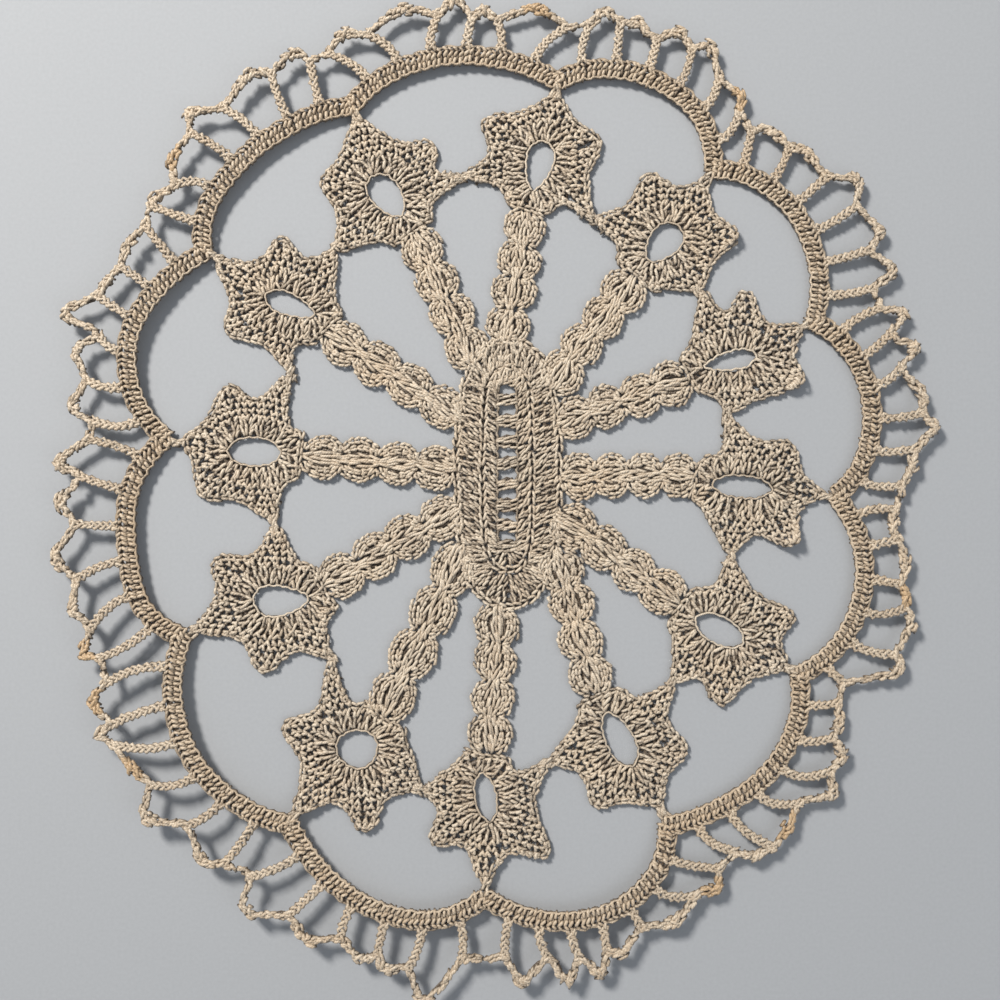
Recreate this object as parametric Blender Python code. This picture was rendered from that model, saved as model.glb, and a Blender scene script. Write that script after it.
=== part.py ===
"""A crocheted lace doily, lying nearly flat.

The worked pieces of the doily are flat sheets that meet at single stitches: a long
medallion, twelve shell-stitch arms, twelve star rosettes with an open eye, a ring of
twelve scallops and a looped chain edging. The origin is the middle of the medallion on
its underside, +Y is the doily's long way and +Z points up. The pieces run clockwise,
number 01 at the top.
"""
import math
from collections import namedtuple

import bmesh
import bpy
from mathutils import Vector, geometry

MM = 0.001
COUNT = 12

SHEET = 2.0 * MM
GAP = 0.3 * MM
TOUCH = 0.00001
INSIDE_OUTLINES = 1

MEDALLION_HALF_WIDTH = 18.0 * MM
MEDALLION_HALF_LENGTH = 44.6 * MM
MEDALLION_ROUNDNESS = 2.6
MEDALLION_SIDES = 36
EDGE_BEARINGS = 720

SHELLS = 4
SHELL_HALF_WIDTH = 6.2 * MM
WAIST_HALF_WIDTH = 4.5 * MM
ARM_END_HALF_WIDTH = 2.6 * MM
FOOT_GAP = 0.4 * MM
# How wide a shell is along its length, from its base to its open side: 0 is the waist
# and 1 is the full width.
SHELL_PROFILE = ((0.3, 0.85), (0.74, 1.0))

# The width of a rosette's work round its eye: at the notch where its arm joins, at the
# lobes on both sides of the arm, between a lobe and its petal, and between two petals.
NOTCH_BAND = 6.6 * MM
LOBE_BAND = 9.8 * MM
DIP_BAND = 9.8 * MM
VALLEY_BAND = 12.3 * MM
LOBE_ANGLE = 27.0
DIP_ANGLE = 50.0
NOTCH_HALF_WIDTH = 2.8 * MM
FREE_TIP_HALF_WIDTH = 2.3 * MM
LINK_TIP_HALF_WIDTH = 0.9 * MM
KNOT_TIP_HALF_WIDTH = 1.2 * MM
ROSETTE_STEP = 3.8 * MM
EYE_SIDES = 14

BAND_HALF_WIDTH = 3.0 * MM
BAND_STEP = 5.0 * MM

CHAIN_HALF_WIDTH = 1.3 * MM
PICOT_HALF_WIDTH = 1.8 * MM
FOOT_FIRST = 0.13
FOOT_LAST = 0.87
RAIL_STATIONS = 2
SPOKE_STATIONS = (0.45, 1.0)
LOOP_REACH = 6

# The edge curls up off the surface between these two shares of the ring's radius.
CURL_START = 0.84
CURL_END = 1.16
RING_HALF_WIDTH = 119.0 * MM
RING_HALF_LENGTH = 138.0 * MM

# Places on the doily, in millimetres from the middle of the medallion. Lengths are in
# millimetres and turns in degrees from +X towards +Y.
Rosette = namedtuple("Rosette", "foot joint eye long short turn point egg near far link")
Scallop = namedtuple("Scallop", "knot rise crown fall")
Comb = namedtuple("Comb", "lean reach sway crest")
Curl = namedtuple("Curl", "bearing height")
Flare = namedtuple("Flare", "place spread height")

# foot: bearing of the arm's foot on the medallion. joint: bearing from the eye to the
# arm's other end. long, short and turn: the eye's oval. point and egg: the bearing of the
# eye's narrow end and how much it narrows. near and far: the two free petals. link: the
# stitch shared with the next rosette.
ROSETTES = (
    Rosette(91, -105, (10.0, 99.4), 16.5, 8.7, 76, -104, 0.34,
            (-7.1, 114.2), (29.7, 107.7), (27.4, 82.3)),
    Rosette(64, -130, (50.3, 74.5), 14.8, 10.0, 47, -127, 0.24,
            (45.8, 96.8), (73.5, 77.1), (62.9, 59.0)),
    Rosette(44, -157, (71.9, 36.5), 17.7, 6.1, 12, -168, 0.34,
            (77.4, 58.4), (94.8, 30.3), (71.0, 19.0)),
    Rosette(-3, 166, (75.8, -4.2), 20.0, 7.4, -5, -10, 0.0,
            (92.3, 9.0), (92.3, -22.3), (71.9, -26.5)),
    Rosette(-41, 145, (68.4, -50.6), 17.4, 9.0, -28, -29, 0.0,
            (91.9, -46.1), (69.0, -74.2), (53.5, -67.7)),
    Rosette(-62, 114, (36.1, -85.8), 19.4, 9.0, -63, 117, 0.14,
            (57.7, -89.7), (29.0, -107.4), (13.2, -93.2)),
    Rosette(-94, 86, (-7.1, -104.5), 16.1, 7.1, -80, -80, 0.0,
            (12.3, -122.6), (-24.2, -118.7), (-27.7, -102.3)),
    Rosette(-120, 52, (-48.4, -88.7), 13.5, 12.6, 0, 40, 0.16,
            (-45.8, -114.8), (-72.3, -81.9), (-57.7, -59.4)),
    Rosette(-144, 21, (-73.2, -41.0), 18.1, 9.7, 2, 8, 0.36,
            (-79.4, -63.9), (-94.8, -28.4), (-75.2, -15.8)),
    Rosette(174, -5, (-81.9, 7.1), 17.4, 9.4, -3, -3, 0.0,
            (-99.4, -6.5), (-91.0, 28.1), (-70.6, 32.6)),
    Rosette(131, -36, (-70.3, 54.5), 17.4, 7.1, -22, -25, 0.28,
            (-91.0, 46.5), (-73.5, 76.1), (-55.5, 71.9)),
    Rosette(107, -55, (-39.0, 89.7), 16.1, 9.7, -52, -57, 0.24,
            (-60.0, 94.8), (-23.9, 106.1), (-14.2, 96.1)),
)

# The middle line of each scallop, from its knot over its crown to the next knot.
SCALLOPS = (
    Scallop((16.1, 126.5), (29.7, 130.3), (46.8, 127.1), (61.6, 115.8)),
    Scallop((66.5, 98.1), (80.3, 94.8), (93.2, 83.5), (100.0, 66.5)),
    Scallop((99.0, 49.0), (111.0, 38.7), (117.1, 22.3), (114.8, 4.5)),
    Scallop((105.8, -6.8), (113.5, -21.3), (114.5, -37.4), (107.7, -53.9)),
    Scallop((93.9, -65.2), (92.9, -81.0), (83.9, -96.5), (68.4, -107.7)),
    Scallop((51.6, -113.5), (46.8, -129.7), (31.9, -141.0), (11.9, -143.2)),
    Scallop((-7.7, -136.1), (-23.5, -142.9), (-41.3, -139.7), (-57.4, -129.4)),
    Scallop((-70.3, -112.3), (-86.5, -105.2), (-100.6, -91.0), (-107.1, -71.3)),
    Scallop((-104.5, -52.3), (-117.1, -42.6), (-121.9, -24.5), (-121.0, -4.5)),
    Scallop((-110.3, 11.6), (-120.3, 25.5), (-121.3, 43.9), (-112.3, 59.4)),
    Scallop((-97.7, 71.3), (-95.8, 86.8), (-82.9, 102.9), (-66.1, 113.9)),
    Scallop((-50.3, 118.4), (-37.4, 129.0), (-18.7, 134.5), (0.6, 132.9)),
)

# The chain spokes of each scallop: how far along and out of the scallop's middle line
# each spoke reaches, and the same for the picot between two spokes.
COMBS = (
    Comb((5, 0, -1, -3, -5, -7), (14, 15, 12, 14, 12, 11),
         (2, -1, -3, -6, -4), (18, 15, 17, 18, 14)),
    Comb((-1, -2, 0, -2, -1, -3), (14, 14, 15, 18, 17, 17),
         (-3, -4, -2, 2, -1), (16, 16, 23, 22, 24)),
    Comb((4, -2, -4, -2, -4, -6), (16, 13, 12, 16, 15, 14),
         (3, -1, -1, -4, -5), (21, 19, 16, 20, 15)),
    Comb((4, 0, 1, -6, -5, -1), (14, 12, 11, 14, 16, 10),
         (1, 1, -3, -8, -9), (11, 13, 14, 17, 19)),
    Comb((-2, -5, -9, -9, -7, -9), (12, 12, 15, 13, 19, 14),
         (-3, -8, -11, -8, -6), (13, 17, 19, 16, 18)),
    Comb((-3, -8, 0, 1, -2, -4, -3), (18, 14, 9, 11, 11, 11, 14),
         (-5, -3, 3, -2, -5, -4), (19, 14, 13, 18, 19, 20)),
    Comb((4, 4, -1, -2, 1, 4), (14, 15, 13, 13, 17, 18),
         (9, 3, -4, -1, 4), (25, 17, 16, 19, 26)),
    Comb((3, 4, 7, 7, -3, -7), (18, 15, 15, 21, 20, 20),
         (1, 8, 6, 3, -4), (21, 22, 18, 25, 25)),
    Comb((5, -6, -4, 1, 1, -4), (20, 17, 17, 16, 16, 18),
         (-1, -6, -3, 0, -7), (24, 20, 23, 21, 24)),
    Comb((8, 5, 5, 1, -1, 0), (14, 13, 9, 14, 13, 17),
         (6, 7, 1, -1, -1), (19, 16, 22, 14, 16)),
    Comb((2, -6, -3, -4, 2, 1), (17, 12, 17, 16, 17, 16),
         (-4, -6, -6, 2, 4), (16, 17, 22, 20, 20)),
    Comb((-5, -6, 5, 2, -3, 6), (16, 14, 13, 12, 12, 16),
         (-5, 0, 3, -1, 2), (18, 17, 18, 15, 18)),
)

# How high the edge curls up, by bearing.
CURLS = (
    Curl(0, 2.5), Curl(45, 2.0), Curl(90, 3.0), Curl(135, 4.0),
    Curl(180, 4.0), Curl(225, 6.0), Curl(270, 4.5), Curl(315, 2.5),
)
# Petals that stand up off the surface.
FLARES = (
    Flare((93.0, -24.0), 11, 3.5),
    Flare((96.0, 28.0), 10, 3.0),
    Flare((74.0, 75.0), 10, 2.5),
    Flare((-26.0, -121.0), 10, 1.5),
    Flare((28.0, 82.0), 9, 1.5),
)


def metres(place):
    """A place given in millimetres, as a flat vector in metres."""
    return Vector(place) * MM


def direction(degrees):
    """A unit vector at a bearing."""
    return Vector((math.cos(math.radians(degrees)), math.sin(math.radians(degrees))))


def bearing_of(vector):
    """The bearing of a vector, in degrees."""
    return math.degrees(math.atan2(vector.y, vector.x))


def left_of(vector):
    """The unit vector a quarter turn anticlockwise from a vector."""
    return Vector((-vector.y, vector.x)).normalized()


def through(before, start, end, after, share):
    """A point between start and end on the smooth curve through four points."""
    return 0.5 * (2 * start + (end - before) * share
                  + (2 * before - 5 * start + 4 * end - after) * share ** 2
                  + (3 * start - before - 3 * end + after) * share ** 3)


def spaced(points, step, closed):
    """The same line with its points spread evenly, about one step apart."""
    line = points + [points[0]] if closed else points
    lengths = [(b - a).length for a, b in zip(line, line[1:])]
    total = sum(lengths)
    count = max(round(total / step), 3)
    result = []
    index = 0
    passed = 0.0
    for k in range(count if closed else count + 1):
        target = min(total * k / count, total * 0.999999)
        while passed + lengths[index] < target:
            passed += lengths[index]
            index += 1
        share = (target - passed) / lengths[index]
        result.append(line[index].lerp(line[index + 1], share))
    return result


def smooth_open(knots, stations):
    """A smooth open line through its knots, with a number of points from knot to knot."""
    first = 3 * knots[0] - 3 * knots[1] + knots[2]
    last = 3 * knots[-1] - 3 * knots[-2] + knots[-3]
    row = [first] + knots + [last]
    line = []
    for k in range(1, len(knots)):
        line += [through(*row[k - 1:k + 3], s / stations) for s in range(stations)]
    return line + [knots[-1]]


def tangent(line, index):
    """The direction of a line at one of its points, counted from the end if negative."""
    index %= len(line)
    return (line[min(index + 1, len(line) - 1)] - line[max(index - 1, 0)]).normalized()


def medallion_edge(bearing, extra=0.0):
    """A point on the medallion's rounded edge, moved out by a little."""
    way = direction(bearing)
    wide = abs(way.x / (MEDALLION_HALF_WIDTH + extra)) ** MEDALLION_ROUNDNESS
    long = abs(way.y / (MEDALLION_HALF_LENGTH + extra)) ** MEDALLION_ROUNDNESS
    return way * (wide + long) ** (-1 / MEDALLION_ROUNDNESS)


def bearing_along_edge(bearing, distance):
    """The bearing reached by walking a distance along the medallion's edge."""
    start = medallion_edge(bearing)
    turn = math.copysign(0.25, distance)
    reached = bearing
    while (medallion_edge(reached) - start).length < abs(distance):
        reached += turn
    return reached


def eye_radius(rosette, bearing):
    """How far the rim of a rosette's eye is from its middle."""
    angle = math.radians(bearing - rosette.turn)
    half_long = rosette.long / 2 * MM
    half_short = rosette.short / 2 * MM
    return half_long * half_short / math.hypot(half_short * math.cos(angle),
                                               half_long * math.sin(angle))


def eye_outline(rosette):
    """The rim of a rosette's eye: its oval, drawn in towards its narrow end."""
    along = direction(rosette.point)
    across = left_of(along)
    outline = []
    for side in range(EYE_SIDES):
        bearing = rosette.turn + 360 * side / EYE_SIDES
        place = direction(bearing) * eye_radius(rosette, bearing)
        forward = place.dot(along)
        taper = 1 - rosette.egg * forward / (rosette.long / 2 * MM)
        outline.append(metres(rosette.eye) + along * forward + across * place.dot(across) * taper)
    return outline


def scallop_line(index):
    """The middle line of a scallop, from knot to knot, in even steps."""
    row = SCALLOPS[index]
    end = SCALLOPS[(index + 1) % COUNT].knot
    knots = [metres(place) for place in (row.knot, row.rise, row.crown, row.fall, end)]
    return spaced(smooth_open(knots, 12), BAND_STEP, closed=False)


def mitre(line, index, outward):
    """Half the cut across the band where it meets its neighbour at a knot."""
    normal = left_of(tangent(line, index))
    return outward * (BAND_HALF_WIDTH / normal.dot(outward))


def knot_tip(index):
    """Where a rosette's petal touches the inner corner of the ring."""
    knot = metres(SCALLOPS[index].knot)
    outward = knot.normalized()
    cuts = (mitre(scallop_line(index), 0, outward), mitre(scallop_line(index - 1), -1, outward))
    return knot - outward * (max(cut.length for cut in cuts) + GAP)


def flat_end(tip, middle, half_width):
    """The two corners of a petal's end, in clockwise order round the rosette."""
    across = left_of(tip - middle) * half_width
    return [tip + across, tip - across]


def towards_next(index, other):
    """The direction from a rosette's eye to another's."""
    return (metres(ROSETTES[other % COUNT].eye) - metres(ROSETTES[index].eye)).normalized()


def link_end(index, link, other):
    """The end of a petal at the stitch it shares with a neighbouring rosette."""
    towards = towards_next(index, other)
    tip = metres(link) - towards * GAP / 2
    across = left_of(towards) * LINK_TIP_HALF_WIDTH
    return [tip + across, tip - across]


def behind(line, limit, way):
    """The line with any point that has gone past a limit moved back to it."""
    return [place - way * max(0.0, (place - limit).dot(way)) for place in line]


def rosette_edge(index):
    """The star outline of a rosette, clockwise from the notch where its arm joins.

    Its petals are joined by soft curves, and the notch is straight."""
    rosette = ROSETTES[index]
    middle = metres(rosette.eye)

    def at(bearing, band):
        return middle + direction(bearing) * (eye_radius(rosette, bearing) + band)

    def valley(one, two):
        first = bearing_of(one - middle)
        turn = (first - bearing_of(two - middle)) % 360
        return at(first - turn / 2, VALLEY_BAND)

    before = link_end(index, ROSETTES[index - 1].link, index - 1)
    near = flat_end(metres(rosette.near), middle, FREE_TIP_HALF_WIDTH)
    knot = flat_end(knot_tip(index), middle, KNOT_TIP_HALF_WIDTH)
    far = flat_end(metres(rosette.far), middle, FREE_TIP_HALF_WIDTH)
    after = link_end(index, rosette.link, index + 1)
    notch = flat_end(at(rosette.joint, NOTCH_BAND), middle, NOTCH_HALF_WIDTH)
    knots = [at(rosette.joint - LOBE_ANGLE, LOBE_BAND), at(rosette.joint - DIP_ANGLE, DIP_BAND)]
    knots += before + [valley(before[1], near[0])]
    knots += near + [valley(near[1], knot[0])]
    knots += knot + [valley(knot[1], far[0])]
    knots += far + [valley(far[1], after[0])]
    knots += after
    knots += [at(rosette.joint + DIP_ANGLE, DIP_BAND), at(rosette.joint + LOBE_ANGLE, LOBE_BAND)]
    side = spaced(smooth_open(knots, 6), ROSETTE_STEP, closed=False)
    side = behind(side, before[0], towards_next(index, index - 1))
    side = behind(side, after[0], towards_next(index, index + 1))
    side = behind(side, knot_tip(index), knot_tip(index).normalized())
    return side + notch


def clears_medallion(place):
    """Whether a point is well clear of the medallion."""
    return place.length > medallion_edge(bearing_of(place), 2 * FOOT_GAP).length


def arm_edge(index):
    """The scalloped outline of an arm, from the medallion to its rosette's notch."""
    rosette = ROSETTES[index]
    foot = medallion_edge(rosette.foot)
    notch = eye_radius(rosette, rosette.joint) + NOTCH_BAND + GAP
    tip = metres(rosette.eye) + direction(rosette.joint) * notch
    towards = (foot - tip).normalized()
    across = left_of(towards)
    length = (foot - tip).length
    left, right = [], []
    for shell in range(SHELLS):
        start = tip + towards * (length * shell / SHELLS)
        if shell > 0:
            left.append(start + across * WAIST_HALF_WIDTH)
            right.append(start - across * WAIST_HALF_WIDTH)
        for share, width in SHELL_PROFILE:
            place = start + towards * (length * share / SHELLS)
            half = WAIST_HALF_WIDTH + (SHELL_HALF_WIDTH - WAIST_HALF_WIDTH) * width
            left.append(place + across * half)
            right.append(place - across * half)
    bearings = [bearing_along_edge(rosette.foot, WAIST_HALF_WIDTH * share)
                for share in (-1, -0.5)]
    bearings.append(rosette.foot)
    bearings += [bearing_along_edge(rosette.foot, WAIST_HALF_WIDTH * share)
                 for share in (0.5, 1)]
    base = [medallion_edge(bearing, FOOT_GAP) for bearing in bearings]
    left = [place for place in left if clears_medallion(place)]
    right = [place for place in right if clears_medallion(place)]
    if (base[0] - left[-1]).length > (base[-1] - left[-1]).length:
        base.reverse()
    end_across = left_of(direction(rosette.joint)) * ARM_END_HALF_WIDTH
    end = [tip + end_across, tip - end_across]
    return [end[0]] + left + base + right[::-1] + [end[1]]


def scallop_edge(index):
    """The outline of one scallop of the ring, mitred where it meets its neighbours."""
    line = scallop_line(index)
    outer, inner = [], []
    for k, place in enumerate(line):
        if k in (0, len(line) - 1):
            outward = place.normalized()
            half = mitre(line, k, outward)
            aside = left_of(outward) * GAP / 2
            place = place - aside if k == 0 else place + aside
        else:
            half = left_of(tangent(line, k)) * BAND_HALF_WIDTH
        outer.append(place + half)
        inner.append(place - half)
    return outer + inner[::-1]


def line_place(line, share):
    """A point on an even line at a share of its length, and the line's direction."""
    index = share * (len(line) - 1)
    whole = int(index)
    place = line[whole].lerp(line[whole + 1], index - whole)
    return place, (line[whole + 1] - line[whole]).normalized()


def comb_places(index):
    """The feet, heads and picots of the edging along one scallop."""
    line = scallop_line(index)
    comb = COMBS[index]
    last = len(comb.lean) - 1
    pitch = (FOOT_LAST - FOOT_FIRST) / last
    feet, heads, picots = [], [], []
    for k, (lean, reach) in enumerate(zip(comb.lean, comb.reach)):
        place, along = line_place(line, FOOT_FIRST + pitch * k)
        outward = left_of(along)
        feet.append((place, along))
        heads.append(place + (along * lean + outward * reach) * MM)
    for k, (sway, crest) in enumerate(zip(comb.sway, comb.crest)):
        place, along = line_place(line, FOOT_FIRST + pitch * (k + 0.5))
        picots.append(place + (along * sway + left_of(along) * crest) * MM)
    return feet, heads, picots


def spoke_sides(head, foot, along):
    """The two sides of a chain spoke, from the rail in to the ring."""
    outward = left_of(along)
    base = foot + outward * (BAND_HALF_WIDTH + GAP)
    bend = base + outward * (head - base).length * 0.45
    first, second = [], []
    for share in SPOKE_STATIONS:
        place = head * (1 - share) ** 2 + bend * 2 * share * (1 - share) + base * share ** 2
        way = (bend - head) * (1 - share) + (base - bend) * share
        side = left_of(way) * CHAIN_HALF_WIDTH
        if share == 1.0:
            side = along * CHAIN_HALF_WIDTH
        first.append(place + side)
        second.append(place - side)
    return first, second


def shoulder(head, neighbour):
    """The share of the way to the rail's next station where a spoke's side starts."""
    return min(0.5, CHAIN_HALF_WIDTH / (neighbour - head).length)


def comb_rail(index):
    """The wavy rail of the edging along one scallop, through its heads and picots.

    It stops half way to the rails on both sides."""
    heads, picots = comb_places(index)[1:]
    before = comb_places(index - 1)[1][-1]
    after = comb_places((index + 1) % COUNT)[1][0]
    knots = [heads[0]]
    for head, picot in zip(heads[1:], picots):
        knots += [picot, head]
    start = (before + heads[0]) / 2 + (heads[0] - before).normalized() * GAP / 2
    end = (heads[-1] + after) / 2 - (after - heads[-1]).normalized() * GAP / 2
    return [start] + smooth_open(knots, RAIL_STATIONS) + [end]


def without_loops(outline):
    """The outline with its small loops cut off where it crosses itself."""
    line = list(outline)
    first = 0
    while first < len(line) - 1:
        for last in range(min(first + LOOP_REACH, len(line) - 2), first + 1, -1):
            crossing = geometry.intersect_line_line_2d(line[first], line[first + 1],
                                                       line[last], line[last + 1])
            if crossing is not None:
                line[first + 1:last + 1] = [crossing]
                break
        first += 1
    return line


def comb_edge(index):
    """The outline of the edging along one scallop: a wavy rail with its chain spokes."""
    feet, heads, picots = comb_places(index)
    rail = comb_rail(index)
    last = len(rail) - 1
    outer, inner = [], []
    for k, place in enumerate(rail):
        at_picot = k not in (0, last) and (k - 1) % (2 * RAIL_STATIONS) == RAIL_STATIONS
        half = PICOT_HALF_WIDTH if at_picot else CHAIN_HALF_WIDTH
        side = left_of(tangent(rail, k)) * half
        outer.append(place + side)
        inner.append(place - side)
    back = []
    for k in range(last, -1, -1):
        spoke, stray = divmod(k - 1, 2 * RAIL_STATIONS)
        if stray == 0 and 0 <= spoke < len(heads):
            first, second = spoke_sides(heads[spoke], *feet[spoke])
            after_head = inner[k].lerp(inner[k + 1], shoulder(inner[k], inner[k + 1]))
            before_head = inner[k].lerp(inner[k - 1], shoulder(inner[k], inner[k - 1]))
            back += [after_head] + first + second[::-1] + [before_head]
        else:
            back.append(inner[k])
    return without_loops(outer) + without_loops(back)


def smooth_step(value):
    """0 below 0, 1 above 1 and a soft rise between."""
    value = min(max(value, 0.0), 1.0)
    return value * value * (3 - 2 * value)


def curl_height(bearing):
    """How high the edge curls up at a bearing."""
    pitch = 360 / len(CURLS)
    whole, part = divmod((bearing % 360) / pitch, 1)
    one = CURLS[int(whole) % len(CURLS)].height
    two = CURLS[(int(whole) + 1) % len(CURLS)].height
    return (one + (two - one) * smooth_step(part)) * MM


def lift(place):
    """How far the sheet stands off the surface at a place."""
    share = math.hypot(place.x / RING_HALF_WIDTH, place.y / RING_HALF_LENGTH)
    height = curl_height(bearing_of(place)) * smooth_step(
        (share - CURL_START) / (CURL_END - CURL_START))
    for flare in FLARES:
        distance = (metres(flare.place) - place).length / (flare.spread * MM)
        height += flare.height * MM * (1 - smooth_step(distance))
    return height


def cotton(name, colour, roughness):
    """A plain cotton material."""
    material = bpy.data.materials.new(name)
    material.use_nodes = True
    shader = material.node_tree.nodes["Principled BSDF"]
    shader.inputs["Base Color"].default_value = colour
    shader.inputs["Roughness"].default_value = roughness
    shader.inputs["Metallic"].default_value = 0.0
    return material


def sheet(name, outlines, collection, material):
    """A flat sheet cut to its outline and laid over the rises of the doily.

    A second outline is a hole: a face that has only its points is left out."""
    places = []
    sides = []
    for outline in outlines:
        first = len(places)
        places += outline
        sides += [(first + k, first + (k + 1) % len(outline)) for k in range(len(outline))]
    corners, _, faces = geometry.delaunay_2d_cdt(places, sides, [], INSIDE_OUTLINES, TOUCH)[:3]
    faces = [face for face in faces if min(face) < len(outlines[0])]
    body = bmesh.new()
    for corner in corners:
        body.verts.new((corner.x, corner.y, 0.0))
    body.verts.ensure_lookup_table()
    for face in faces:
        body.faces.new([body.verts[k] for k in face])
    raised = bmesh.ops.extrude_face_region(body, geom=body.faces[:])
    top = [item for item in raised["geom"] if isinstance(item, bmesh.types.BMVert)]
    bmesh.ops.translate(body, verts=top, vec=(0.0, 0.0, SHEET))
    bmesh.ops.recalc_face_normals(body, faces=body.faces)
    for vertex in body.verts:
        vertex.co.z += lift(vertex.co.xy)
    mesh = bpy.data.meshes.new(name)
    body.to_mesh(mesh)
    body.free()
    mesh.materials.append(material)
    piece = bpy.data.objects.new(name, mesh)
    collection.objects.link(piece)
    return piece


def medallion(collection):
    """The long worked medallion in the middle."""
    edge = [medallion_edge(360 * k / EDGE_BEARINGS) for k in range(EDGE_BEARINGS)]
    outline = spaced(edge, sum((b - a).length for a, b in zip(edge, edge[1:]))
                     / MEDALLION_SIDES, closed=True)
    material = cotton("medallion_cotton", (0.48, 0.39, 0.28, 1.0), 0.85)
    return sheet("medallion", [outline], collection, material)


def arms(collection):
    """The twelve arms of stacked shells."""
    for k in range(COUNT):
        material = cotton(f"arm_cotton_{k + 1:02d}", (0.50, 0.41, 0.30, 1.0), 0.85)
        sheet(f"arm_{k + 1:02d}", [arm_edge(k)], collection, material)


def rosettes(collection):
    """The twelve star rosettes, each with its open eye."""
    for k, rosette in enumerate(ROSETTES):
        material = cotton(f"rosette_cotton_{k + 1:02d}", (0.49, 0.40, 0.29, 1.0), 0.85)
        outlines = [rosette_edge(k), eye_outline(rosette)]
        sheet(f"rosette_{k + 1:02d}", outlines, collection, material)


def ring(collection):
    """The ring of twelve scallops."""
    for k in range(COUNT):
        material = cotton(f"ring_cotton_{k + 1:02d}", (0.47, 0.38, 0.27, 1.0), 0.85)
        sheet(f"scallop_{k + 1:02d}", [scallop_edge(k)], collection, material)


def edging(collection):
    """The chain edging, one comb of spokes and rail along each scallop."""
    for k in range(COUNT):
        material = cotton(f"edging_cotton_{k + 1:02d}", (0.46, 0.36, 0.25, 1.0), 0.85)
        sheet(f"edging_{k + 1:02d}", [comb_edge(k)], collection, material)


def main():
    for item in list(bpy.data.objects):
        bpy.data.objects.remove(item)
    collection = bpy.data.collections.new("lace_doily")
    bpy.context.scene.collection.children.link(collection)
    medallion(collection)
    arms(collection)
    rosettes(collection)
    ring(collection)
    edging(collection)


main()
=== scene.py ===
"""A crocheted lace doily: its stitches, thread by thread, laid over the fixed frame.

The doily lies with its worked side up, +Y its long way. Every stitch is made of threads
as thick as the cotton: chains are rows of Vs, tall stitches are columns of slanted grains
over a back thread, and short stitches are slanted legs.
"""
import math
import random
from collections import namedtuple

import bmesh
import bpy
import numpy as np
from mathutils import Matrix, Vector, noise
from mathutils.bvhtree import BVHTree


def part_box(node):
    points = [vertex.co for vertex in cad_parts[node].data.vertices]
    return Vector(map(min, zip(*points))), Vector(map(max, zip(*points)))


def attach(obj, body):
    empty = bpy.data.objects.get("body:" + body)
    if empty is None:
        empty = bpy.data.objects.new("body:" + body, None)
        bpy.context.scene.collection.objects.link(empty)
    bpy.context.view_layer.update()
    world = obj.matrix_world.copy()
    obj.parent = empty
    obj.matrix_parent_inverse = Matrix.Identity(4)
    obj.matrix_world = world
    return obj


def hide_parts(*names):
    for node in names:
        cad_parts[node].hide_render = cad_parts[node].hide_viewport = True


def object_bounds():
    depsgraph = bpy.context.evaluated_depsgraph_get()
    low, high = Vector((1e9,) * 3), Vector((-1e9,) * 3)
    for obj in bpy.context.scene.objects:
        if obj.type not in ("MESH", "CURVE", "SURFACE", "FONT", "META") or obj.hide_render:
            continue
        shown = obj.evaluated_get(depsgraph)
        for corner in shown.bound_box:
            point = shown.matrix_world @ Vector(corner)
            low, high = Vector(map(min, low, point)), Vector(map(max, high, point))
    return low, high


bl_info = {
    "name": "Lace Doily",
    "version": (1, 0, 0),
    "blender": (4, 5, 0),
    "location": "View3D > Sidebar > Doily",
    "description": "Crochets the doily's medallion, arms, rosettes, ring and edging",
    "category": "Object",
}

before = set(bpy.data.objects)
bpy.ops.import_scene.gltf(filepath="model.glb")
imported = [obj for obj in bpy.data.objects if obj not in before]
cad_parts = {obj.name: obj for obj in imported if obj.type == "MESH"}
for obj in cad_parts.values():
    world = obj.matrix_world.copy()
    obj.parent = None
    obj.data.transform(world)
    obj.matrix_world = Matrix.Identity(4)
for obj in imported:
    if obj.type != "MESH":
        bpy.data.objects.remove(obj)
LOWEST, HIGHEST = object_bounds()

MM = 0.001
COUNT = 12
# How far the view stands from the middle of the doily's box.
VIEW_SHIFT = (1.3 * MM, -0.65 * MM)

# Heights of the threads above the doily's underside, how far they dive at their ends, and
# the height at which painted shade darkens the threads most, deep in the work.
BACK = 0.45 * MM
LEG = 1.1 * MM
FRONT = 1.55 * MM
DIVE = 0.75 * MM
SHADE_HEIGHT = 1.0 * MM

# A thread's sides, as its bevel makes them, and how thin it is at its ends.
SIDES = 6
TAPER = 0.62

# The cotton's plies, and the scales of its soft patches and its fibres.
PLIES = 3
PATCH_SCALE = 55.0
FIBRE_SCALE = 2600.0

# A rosette's rows: points round its eye, cords across its back, the grains' slants in
# four neighbouring posts, and the rows of parted grains outside the posts.
RIM_SAMPLES = 240
RIM_LENGTH = 45 * MM
ROSETTE_BACKS = (2.2 * MM, 3.9 * MM, 5.6 * MM)
POST_SLANTS = (1, 0, -1, -2)
THATCH_STEP = 2.0 * MM
THATCH_PITCH = 2.15 * MM
JOIN_GRAINS = 12

# An arm's shells, and the rows of a shell's ear: the share of the shell's length and the
# distance from the middle line in millimetres.
SHELLS = 4
CORE_POSTS = (-1.5, -0.5, 0.5, 1.5)
EAR_EDGE = ((0.0, 2.4), (0.13, 4.7), (0.36, 6.2), (0.64, 6.3), (0.87, 4.9), (1.0, 2.5))
EAR_BACK = ((0.1, 2.8), (0.25, 4.6), (0.5, 5.3), (0.75, 4.8), (0.92, 2.9))
EAR_HEART = ((0.12, 2.2), (0.28, 3.6), (0.5, 4.1), (0.74, 3.7), (0.88, 2.2))
EAR_HOLLOW = ((0.18, 1.9), (0.4, 2.5), (0.62, 2.4), (0.84, 1.9))
EAR_SPOKES = ((0.18, 3.6), (0.38, 5.2), (0.66, 5.3), (0.88, 3.9))

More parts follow.
